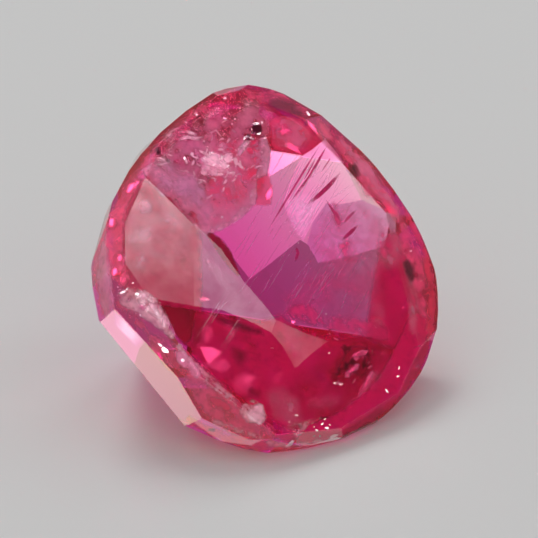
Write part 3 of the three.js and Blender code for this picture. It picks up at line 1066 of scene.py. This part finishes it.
for x, y, size in (
    (197, 115, 1.5), (225, 98, 1.6), (235, 119, 1.0), (265, 138, 1.4), (232, 124, 1.0), (186, 122, 0.9), (205, 110, 0.8), (240, 108, 0.8),
    (204, 141, 1.2), (222, 146, 1.0), (192, 154, 2.0), (236, 176, 1.0), (258, 176, 1.0), (222, 217, 1.6), (262, 152, 1.0),
):
    film(white, fleck(x, y, size), 0.08, step=2, soft=0)
white.build("white_lines", inclusion_material("white_lines", (1.0, 0.93, 0.97), alpha=0.9, grain=0.05, clear=0.1, full=0.5, roughness=0.6))

glitter = Pile()
for _ in range(26):
    x, y = rng.gauss(212, 27), rng.gauss(160, 24)
    if 152 < x < 268 and 110 < y < 230 and y > 300 - 0.9 * x and y < 0.9 * x + 30:
        plate(glitter, fleck(x, y, rng.uniform(0.6, 1.5), rng.uniform(1, 1.5)), rng.uniform(0.08, 0.4), wobble=0.12)
glitter.build("glitter", inclusion_material("glitter", (1.0, 0.95, 0.97), alpha=1.0, grain=0.05, clear=-0.3, full=0.3, metallic=1.0, roughness=0.25))

frost = Pile()
for x, y, across, along, turn, strength in (
    (212, 160, 16, 26, 10, 0.45), (222, 166, 14, 22, -20, 0.45), (206, 170, 12, 16, 40, 0.35), (228, 158, 11, 16, 60, 0.35), (216, 172, 10, 20, 0, 0.3),
    (186, 136, 6, 28, -4, 0.2), (163, 161, 8, 20, -6, 0.2), (152, 168, 9, 16, 50, 0.1), (170, 134, 11, 24, 45, 0.25), (196, 112, 8, 24, 38, 0.02), (224, 98, 7, 20, 15, 0.02), (176, 182, 12, 16, 30, 0.035), (192, 190, 12, 18, 40, 0.03), (203, 196, 10, 14, 70, 0.03),
    (160, 176, 9, 14, -30, 0.04), (222, 138, 8, 12, 60, 0.05), (196, 120, 5, 12, 30, 0.03), (235, 120, 6, 12, 20, 0.04), (212, 218, 8, 16, 30, 0.03),
    (248, 168, 10, 16, 50, 0.025), (250, 198, 8, 16, 60, 0.03), (146, 208, 8, 12, 60, 0.03), (133, 240, 9, 14, 20, 0.02),
    (146, 297, 13, 20, -40, 0.4), (154, 307, 11, 16, -50, 0.28), (165, 322, 10, 18, -60, 0.2), (147, 202, 8, 16, 70, 0.05), (255, 410, 12, 16, 20, 0.05), (288, 444, 6, 26, -6, 0.1), (332, 437, 5, 20, 18, 0.08),
):
    plate(frost, oval(x, y, across, along, turn), 0.045, strength=strength, soft=True, wobble=0.02)
frost.build("frost", inclusion_material("frost", (1.0, 0.66, 0.8), metallic=1.0, roughness=0.5, grain=0.11, clear=0.3, full=0.62, detail=5))

# The crown's edge: red and pink hazes, hot spots and glints under its narrow facets.
rim = Pile()
film(rim, [(109, 214), (117, 198), (128, 182), (138, 180), (134, 196), (126, 214), (124, 236), (126, 262), (132, 282), (120, 286), (106, 274), (103, 250), (104, 232)], 0.05, step=4, crumple=0.03, grain=12, soft=3, strength=1.3)
film(rim, [(304, 106), (322, 118), (345, 136), (368, 158), (388, 186), (406, 214), (420, 242), (429, 272), (431, 300), (429, 330), (421, 356), (410, 372), (412, 350), (417, 325), (414, 300), (404, 270), (398, 250), (396, 225), (380, 208), (362, 196), (348, 168), (332, 146), (318, 134), (306, 116)], 0.06, step=6, crumple=0.04, grain=20, soft=6, strength=0.9)
film(rim, [(104, 228), (116, 196), (132, 170), (158, 138), (188, 110), (216, 94), (246, 85), (276, 87), (308, 102), (322, 116), (306, 118), (284, 110), (255, 104), (228, 106), (200, 122), (176, 142), (156, 166), (140, 186)], 0.05, step=5, soft=2, strength=0.45)
film(rim, [(130, 178), (150, 148), (176, 121), (206, 100), (234, 92), (262, 91), (288, 98), (306, 109), (300, 118), (280, 112), (255, 106), (228, 108), (200, 124), (176, 144), (156, 168), (142, 190)], 0.05, step=5, soft=4, strength=0.4)
rim.build("rim_haze", inclusion_material("rim_haze", (1.0, 0.15, 0.36), alpha=0.75, grain=0.3, clear=0.2, full=0.75, roughness=0.8, detail=5), smooth=True)

mauve = Pile()
film(mauve, [(112, 296), (134, 306), (150, 330), (176, 340), (196, 360), (222, 384), (244, 404), (272, 426), (290, 440), (262, 442), (232, 436), (206, 418), (186, 390), (164, 360), (140, 330), (118, 314)], 0.25, step=5, crumple=0.05, grain=20, soft=4, strength=0.95)
film(mauve, [(144, 337), (156, 342), (168, 356), (176, 370), (166, 366), (152, 350)], 0.1, step=3, soft=2, strength=0.9)
film(mauve, [(146, 334), (155, 338), (166, 352), (172, 366), (164, 366), (150, 350)], 0.03, step=2.5, soft=1, strength=0.85)
mauve.build("mauve_haze", inclusion_material("mauve_haze", (0.8, 0.12, 0.28), alpha=0.75, grain=0.3, clear=0.25, full=0.7, roughness=0.8, detail=5), smooth=True)

cloud = Pile()
film(cloud, [(114, 292), (128, 285), (146, 290), (160, 300), (170, 318), (178, 338), (172, 342), (162, 334), (147, 322), (130, 313), (118, 304)], 0.07, step=3.5, crumple=0.05, grain=8, soft=6, strength=1.1)
film(cloud, [(172, 344), (180, 342), (196, 360), (222, 384), (240, 400), (236, 406), (216, 392), (196, 376), (180, 358)], 0.08, step=3, crumple=0.05, grain=8, soft=5, strength=0.8)
film(cloud, [(240, 404), (252, 398), (264, 404), (268, 418), (262, 426), (246, 424), (238, 414)], 0.07, step=3, crumple=0.05, grain=7, soft=5, strength=1.3)
# Painted highlight: the next two films lie along the foot, pale where its facets catch the light.
film(cloud, [(206, 414), (222, 420), (250, 430), (276, 440), (268, 442), (238, 434), (214, 426)], 0.05, step=4, soft=3, strength=0.6)
film(cloud, [(280, 428), (300, 420), (322, 416), (336, 424), (330, 436), (306, 440), (290, 438)], 0.1, step=4, crumple=0.08, grain=8, soft=8, strength=0.7)
film(cloud, [(132, 290), (144, 289), (158, 299), (166, 314), (160, 322), (148, 314), (136, 302)], 0.05, step=3, crumple=0.02, grain=6, soft=6, strength=1.3)
# Painted highlight: a pale film along the girdle at the foot, where it catches the light.
film(cloud, [(262, 437), (290, 443), (320, 439), (342, 431), (348, 435), (325, 445), (295, 451), (268, 448)], 0.04, step=4, soft=3, strength=0.85)
cloud.build("cloud", inclusion_material("cloud", (1.0, 0.84, 0.88), alpha=0.7, grain=0.2, clear=0.25, full=0.7, roughness=0.8, detail=5), smooth=True)

# Pink spots. Those along the crown's left edge and at the top are painted hot spots: bright pink where the stone shows
# internal reflections of a light. Those low on the right are pink crystals.
spots = Pile()
for x, y, across, along, turn, strength in (
    (284, 131, 16, 24, 10, 0.3), (204, 299, 5, 12, 0, 0.8), (131, 188, 14, 20, 55, 0.7), (112, 223, 13, 16, 80, 0.8), (118, 264, 16, 30, 80, 0.8), (342, 246, 8, 10, 0, 0.6),
    (123, 279, 12, 22, 80, 0.7), (136, 184, 10, 16, 50, 0.5), (358, 355, 9, 20, 25, 0.3), (351, 371, 10, 18, 40, 0.3), (366, 385, 8, 32, 58, 0.35),
):
    blob(spots, x, y, across, along, turn, 0.04, strength)
spots.build("pink_crystals_and_painted_hot_spots", inclusion_material("pink_crystals_and_painted_hot_spots", (1.0, 0.12, 0.36), alpha=0.9, grain=0.3, clear=-0.3, full=0.3, roughness=0.5), smooth=True)

hot = Pile()
for x, y, across, along, turn, strength in (
    (131, 188, 9, 13, 50, 0.6), (112, 222, 9, 11, 80, 0.8), (120, 258, 6, 9, 80, 0.4), (115, 272, 10, 13, 0, 1.0), (95, 272, 4, 11, 80, 0.12), (123, 279, 7, 12, 70, 0.12), (136, 184, 6, 9, 50, 0.25),
    (214, 364, 16, 30, 10, 0.04), (246, 382, 24, 34, 30, 0.035), (249, 379, 9, 14, 20, 0.05), (204, 340, 14, 26, 60, 0.016), (278, 378, 12, 24, 35, 0.014), (316, 402, 10, 22, -30, 0.01), (350, 402, 9, 20, 60, 0.012), (384, 350, 8, 26, 75, 0.012),
    (269, 194, 7, 13, 70, 0.5), (293, 322, 4, 5, 0, 0.5), (284, 131, 7, 12, 10, 0.12), (294, 148, 7, 22, -30, 0.2), (204, 299, 5, 13, 0, 0.12),
    (110, 292, 7, 12, 60, 0.15), (313, 127, 4, 20, -52, 0.35), (118, 240, 4, 7, 70, 0.1), (356, 354, 4, 10, 25, 0.08),
    (352, 370, 4, 10, 40, 0.08), (367, 382, 3, 16, 58, 0.08), (404, 306, 3, 8, 80, 0.04),
):
    plate(hot, oval(x, y, across, along, turn), 0.03, strength=strength, soft=True)
for outline, strength in (
    ([(200, 347), (212, 347), (222, 352), (215, 358), (209, 364), (204, 356)], 0.16),
    ([(203, 325), (212, 328), (213, 336), (206, 342), (202, 334)], 0.035),
    ([(226, 322), (232, 325), (235, 337), (229, 341), (225, 330)], 0.015),
    ([(218, 362), (226, 359), (231, 367), (224, 373), (217, 370)], 0.03),
    ([(349, 358), (358, 350), (368, 351), (364, 358), (355, 361)], 0.035),
    ([(344, 374), (352, 366), (359, 365), (355, 372), (348, 378)], 0.035),
    ([(356, 398), (362, 384), (370, 372), (376, 372), (371, 384), (362, 400)], 0.035),
):
    plate(hot, outline, 0.1, strength=strength)
hot.build("hot_spots", inclusion_material("hot_spots", (1.0, 0.09, 0.28), metallic=1.0, roughness=0.3))

pane = Pile()
plate(pane, [(301, 157), (313, 149), (325, 139), (334, 149), (344, 163)], 0.14, strength=0.28)
pane.build("lilac_plate", inclusion_material("lilac_plate", (1.0, 0.5, 0.8), metallic=1.0, roughness=0.4))

sparks = Pile()
for x, y, size, aspect, turn, strength in (
    (137, 294, 2.2, 1.2, 30, 0.9), (123, 292, 2.4, 2.4, 30, 0.5), (127, 289, 1.4, 1.5, 60, 0.5), (133, 283, 1.4, 1, 0, 0.3), (118, 287, 1.2, 1, 0, 0.2),
    (140, 315, 1.5, 1, 0, 0.2), (165, 350, 3.9, 1.5, -40, 1), (160, 345, 2.2, 2.2, -30, 1), (183, 360, 2.4, 1.2, 0, 0.5), (172, 336, 1, 1, 0, 0.15),
    (208, 380, 1.2, 1, 0, 0.12), (235, 404, 2.4, 1, 0, 0.1), (329, 353, 1.2, 1.3, 30, 0.35), (341, 384, 1.8, 2.6, -10, 0.28), (335, 383, 1.6, 1.6, 0, 0.2),
    (399, 368, 1.4, 2.0, 75, 0.5), (398, 376, 1.5, 1.2, 0, 0.3), (387, 391, 1.8, 2, -50, 0.4), (412, 334, 1.2, 1, 0, 0.08), (296, 415, 2, 2.2, 0, 0.25),
    (289, 422, 1.6, 1, 0, 0.15), (411, 251, 1.8, 1.3, 60, 0.2), (392, 206, 1.5, 1, 0, 0.12), (322, 424, 1.5, 1.6, 40, 0.6), (317, 430, 1.8, 2, -20, 0.5), (325, 419, 1.2, 1.6, 60, 0.4), (314, 436, 1.3, 1.8, 30, 0.35), (330, 425, 1.2, 2, -40, 0.4),
    (327, 428, 1.8, 1.4, 0, 0.5), (320, 436, 1.5, 1, 0, 0.4), (330, 334, 1.3, 1.6, -50, 0.08), (326, 314, 1.2, 1, 0, 0.06), (298, 243, 1, 1, 0, 0.08),
    (207, 300, 2, 1.4, 0, 0.1), (226, 303, 1.4, 1, 0, 0.06), (421, 280, 1.2, 1, 0, 0.08), (324, 432, 1.0, 1, 0, 0.2), (314, 427, 1.0, 1, 0, 0.12),
    (143, 303, 4.5, 1.4, 60, 0.16), (148, 309, 3.6, 1.3, 40, 0.13), (152, 301, 3.2, 1.5, -40, 0.1), (139, 296, 3, 1.6, 20, 0.16), (164, 325, 2.8, 1.8, 70, 0.12), (158, 314, 2.8, 1.3, 0, 0.09),
):
    plate(sparks, fleck(x, y, size * 0.85, aspect ** 0.7, turn), 0.035, wobble=0.02, strength=strength if strength > 0.75 else strength * 0.5)
for x, y, size, aspect, turn, strength in (
    (265, 138, 1.5, 2.6, 40, 0.12), (225, 98, 1.4, 2.6, 20, 0.1), (197, 115, 1.3, 1.6, 0, 0.12), (235, 119, 1.2, 2.6, 30, 0.08), (212, 153, 1.4, 2.5, 20, 0.15),
    (221, 158, 1.4, 2.8, 70, 0.15), (204, 158, 1.4, 2.5, -20, 0.12), (228, 166, 1.5, 2.2, 30, 0.15), (214, 165, 1.5, 3, 50, 0.15), (236, 150, 1.0, 3.5, -50, 0.1),
    (230, 172, 1.2, 3, 10, 0.1), (208, 147, 1.0, 4, -10, 0.1), (192, 133, 1.2, 6, -5, 0.1), (183, 139, 1.0, 6, 8, 0.08), (160, 158, 1.4, 5, -10, 0.1),
    (290, 445, 3.4, 3.4, 25, 0.9), (334, 436, 3.0, 3.4, 20, 0.35), (246, 441, 1.6, 6, -14, 0.08), (352, 432, 1.6, 5, 18, 0.1), (308, 113, 2.0, 3.2, -55, 0.3), (280, 445, 2.6, 5, -8, 0.1), (270, 442, 2.0, 6, -14, 0.06), (316, 440, 2.2, 5, 12, 0.07),
):
    plate(sparks, fleck(x, y, size, aspect ** 0.5, turn), 0.025, wobble=0.015, strength=strength)
for outline, strength in (
    ([(252, 124), (255, 122), (260, 123), (257, 125)], 0.3), ([(250, 129), (252, 128), (252, 131)], 0.12), ([(261, 121), (263, 122), (262, 125)], 0.2),
    ([(256, 134), (261, 132), (260, 135)], 0.25), ([(243, 138), (247, 135), (246, 138), (244, 140)], 0.2),
    ([(249, 138), (252, 136), (251, 139)], 0.12), ([(236, 156), (239, 147), (246, 141), (251, 141), (246, 148), (240, 157)], 0.02),
):
    plate(sparks, outline, 0.03, wobble=0.01, strength=strength)
sparks.build("sparks", inclusion_material("sparks", (1.0, 0.9, 0.93), metallic=1.0, roughness=0.3))

# Dark mineral crystals, and dark patches. The soft patches low in the middle and the sliver along the foot are painted
# shade, where the stone's facets reflect dark.
metal = Pile()
for x, y, length, width, turn in (
    (253, 125, 8, 4, 20), (259, 124, 5, 3, 60), (253, 133, 7, 3, 20), (250, 130, 5, 3, 80), (246, 138, 8, 3, 35), (260, 133, 5, 2, 50),
    (252, 139, 6, 3, 10), (243, 135, 4, 2.5, 70), (158, 151, 5, 3, 40), (168, 160, 6, 2.5, -20), (163, 156, 4, 2, 10),
):
    crystal(metal, x, y, 0.05, length, width, turn)
metal.build("metallic_crystals", inclusion_material("metallic_crystals", (0.85, 0.8, 0.86), metallic=1.0, roughness=0.12))

dark = Pile()
film(dark, [(250, 125), (255, 121), (262, 124), (263, 131), (257, 136), (251, 134)], 0.08, step=3, soft=1.5, strength=1.1)
film(dark, [(243, 137), (248, 133), (253, 136), (249, 141), (244, 141)], 0.08, step=3, soft=1.5, strength=1.0)
film(dark, [(337, 345), (341, 346), (344, 342), (348, 346), (353, 344), (351, 349), (355, 352), (348, 351), (345, 356), (342, 350)], 0.12, step=2, soft=2.5, strength=0.48)
film(dark, [(328, 379), (332, 372), (336, 372), (338, 366), (343, 367), (343, 360), (348, 362), (352, 356), (355, 359), (359, 353), (362, 357), (356, 362), (357, 366), (350, 366), (348, 371), (342, 371), (340, 376), (334, 376)], 0.12, step=2, soft=3, strength=0.5)
film(dark, [(361, 347), (364, 350), (368, 343), (369, 351), (373, 356), (367, 357), (366, 363), (371, 368), (365, 368), (364, 376), (361, 364), (363, 357), (359, 353)], 0.12, step=2, soft=2.5, strength=0.44)
# Painted shade: the next three soft dark patches, low in the middle, where the facets reflect dark.
film(dark, [(226, 344), (240, 342), (252, 350), (250, 364), (238, 370), (230, 360)], 0.12, step=2.5, soft=12, strength=0.42)
film(dark, [(240, 388), (252, 383), (264, 392), (262, 402), (248, 400)], 0.12, step=2, soft=9, strength=0.34)
film(dark, [(210, 312), (236, 318), (262, 328), (268, 338), (244, 334), (216, 324)], 0.12, step=3, soft=7, strength=0.6)
for x, y, length, width, turn in (
    (248, 136, 6, 3, 30), (159, 152, 5, 3, 50), (168, 160, 5, 2, -20),
    (330, 330, 3, 2, 0), (313, 300, 3, 1.5, 20),
):
    crystal(dark, x, y, 0.35, length, width, turn)
for path, width, strength in (
    ([(338, 176), (326, 188), (318, 196), (309, 203)], 3.6, 0.6),
    ([(357, 226), (350, 233), (343, 239)], 2.8, 0.45),
    ([(97, 262), (100, 273), (104, 285)], 2.6, 0.8),
):
    thread(dark, path, 0.2, width, strength, taper=0.4)
film(dark, [(154, 149), (158, 146), (162, 150), (161, 155), (157, 154)], 0.026, step=2, soft=1.2, strength=0.7)
film(dark, [(164, 160), (169, 157), (172, 161), (168, 164)], 0.026, step=2, soft=1.2, strength=0.55)
film(dark, [(186, 214), (190, 211), (193, 215), (189, 218)], 0.026, step=2, soft=1.2, strength=0.3)
film(dark, [(266, 104), (272, 98), (283, 96), (296, 103), (305, 113), (303, 119), (292, 116), (278, 112), (268, 108)], 0.03, step=3, soft=3, strength=0.27)
film(dark, [(347, 166), (352, 161), (359, 166), (362, 176), (355, 180), (349, 175)], 0.025, step=3, soft=4, strength=0.55)
film(dark, [(401, 262), (407, 256), (415, 266), (417, 280), (410, 284), (404, 272)], 0.025, step=3, soft=4, strength=0.55)
# Painted shade: a dark sliver along the foot.
film(dark, [(196, 427), (214, 428), (236, 436), (214, 433)], 0.05, step=3, soft=1.5, strength=0.8)
dark.build("dark_crystals_and_painted_shade", inclusion_material("dark_crystals_and_painted_shade", (0.1, 0.002, 0.025), alpha=0.85, grain=0.08, clear=-0.1, full=0.35, roughness=0.3))

needles = Pile()
for path, width, strength in (
    ([(320, 145), (296, 184), (268, 230)], 2.0, 0.8),
    ([(328, 144), (309, 177), (289, 204)], 2.4, 0.9),
    ([(326, 200), (334, 212), (342, 222)], 2.4, 0.7),
    ([(356, 210), (348, 218), (343, 224)], 2.4, 0.7),
    ([(296, 247), (298, 253), (295, 262)], 3.0, 0.8),
    ([(316, 158), (304, 180)], 1.4, 0.7),
    ([(340, 173), (327, 188), (317, 197), (306, 205)], 4.2, 0.9),
    ([(358, 225), (350, 233), (342, 240)], 3.6, 0.9),
    ([(336, 150), (320, 174)], 1.4, 0.5),
):
    thread(needles, path, 0.12, width, strength, taper=0.3)
needles.build("needles", inclusion_material("needles", (0.62, 0.02, 0.18), alpha=0.75, grain=0.1, clear=-0.1, full=0.35, roughness=0.5))

# Straight silk needles, pale ones all along the window and a few pink crystals low on the right.
rng.seed(5)
silk = Pile()
for _ in range(120):
    x, y = rng.uniform(240, 372), rng.uniform(150, 320)
    turn, length = rng.gauss(58, 2.5), rng.uniform(14, 60)
    dx, dy = length / 2 * math.cos(math.radians(turn)), -length / 2 * math.sin(math.radians(turn))
    ends = [(x - dx, y - dy), (x + dx, y + dy)]
    if all(232 + (252 - q) * 0.1 < p < 385 and 142 < q < 326 and q > 140 + 0.1 * (p - 270) and p < 340 + (q - 160) * 0.62 and q > 150 - (p - 262) * 3.2 for p, q in ends):
        thread(silk, ends, rng.uniform(0.1, 0.9), rng.uniform(0.7, 1.3), rng.uniform(0.15, 0.6), taper=0.4, step=8)
for _ in range(40):
    x, y = rng.uniform(272, 348), rng.uniform(152, 214)
    dx, dy = rng.uniform(4, 14), rng.uniform(7, 23)
    if x - dx > 268 and x + dx < 335 + (y - dy - 142) * 0.7 and y - dy > 146:
        thread(silk, [(x - dx, y + dy), (x + dx, y - dy)], rng.uniform(0.1, 0.6), rng.uniform(0.6, 1.1), rng.uniform(0.2, 0.6), taper=0.4, step=8)
for ends, strength in (
    ([(320, 150), (282, 212)], 0.5), ([(325, 152), (286, 218)], 0.6), ([(333, 168), (300, 220)], 0.4), ([(312, 170), (285, 215)], 0.4),
):
    thread(silk, ends, 0.12, 1.6, strength, taper=0.4, step=8)
for (ax, ay), (bx, by), across, count, level in (
    ((233, 284), (194, 344), 9, 4, 0.4), ((247, 310), (219, 354), 7, 3, 0.35),
):
    for k in range(count):
        off = across * ((k + 0.5) / count - 0.5) + rng.uniform(-0.6, 0.6)
        lead, tail = rng.uniform(-0.15, 0.12), rng.uniform(-0.12, 0.15)
        dx, dy = bx - ax, by - ay
        nx, ny = -dy / math.hypot(dx, dy), dx / math.hypot(dx, dy)
        ends = [(ax + dx * lead + nx * off, ay + dy * lead + ny * off), (bx + dx * tail + nx * off, by + dy * tail + ny * off)]
        thread(silk, ends, 0.1, rng.uniform(0.9, 1.7), level * rng.uniform(0.5, 1.2), taper=0.5, step=6)
silk.build("silk", inclusion_material("silk", (1.0, 0.8, 0.92), alpha=0.5, grain=0.1, clear=0.0, full=0.5, roughness=0.6))

pink = Pile()
for x, y, length, width, turn in (
    (368, 363, 6, 2.4, 40), (345, 360, 5, 2, 50), (372, 352, 5, 2, 70), (354, 381, 7, 1.8, 55), (272, 348, 4, 1.6, 0), (336, 339, 6, 2, -20),
):
    crystal(pink, x, y, 0.22, length, width, turn)
for outline, strength in (
    ([(352, 359), (356, 353), (362, 349), (370, 350), (366, 355), (360, 357), (357, 362)], 0.9),
    ([(343, 378), (347, 370), (352, 369), (355, 363), (361, 363), (358, 370), (352, 372), (350, 378)], 0.9),
    ([(357, 400), (360, 391), (365, 386), (367, 376), (372, 369), (375, 371), (371, 382), (368, 390), (362, 396)], 0.75),
    ([(333, 384), (338, 380), (345, 383), (341, 387)], 0.6),
    ([(366, 368), (371, 364), (374, 366), (369, 371)], 0.6),
):
    film(pink, outline, 0.08, step=2, crumple=0.02, grain=4, soft=1.2, strength=strength)
pink.build("pink_crystals", inclusion_material("pink_crystals", (0.95, 0.2, 0.42), alpha=0.75, grain=0.1, clear=-0.2, full=0.35, roughness=0.3))

# ---------------------------------------------------------------- sizes
size = {"cad": cad_box, "visual": [list(c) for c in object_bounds()]}
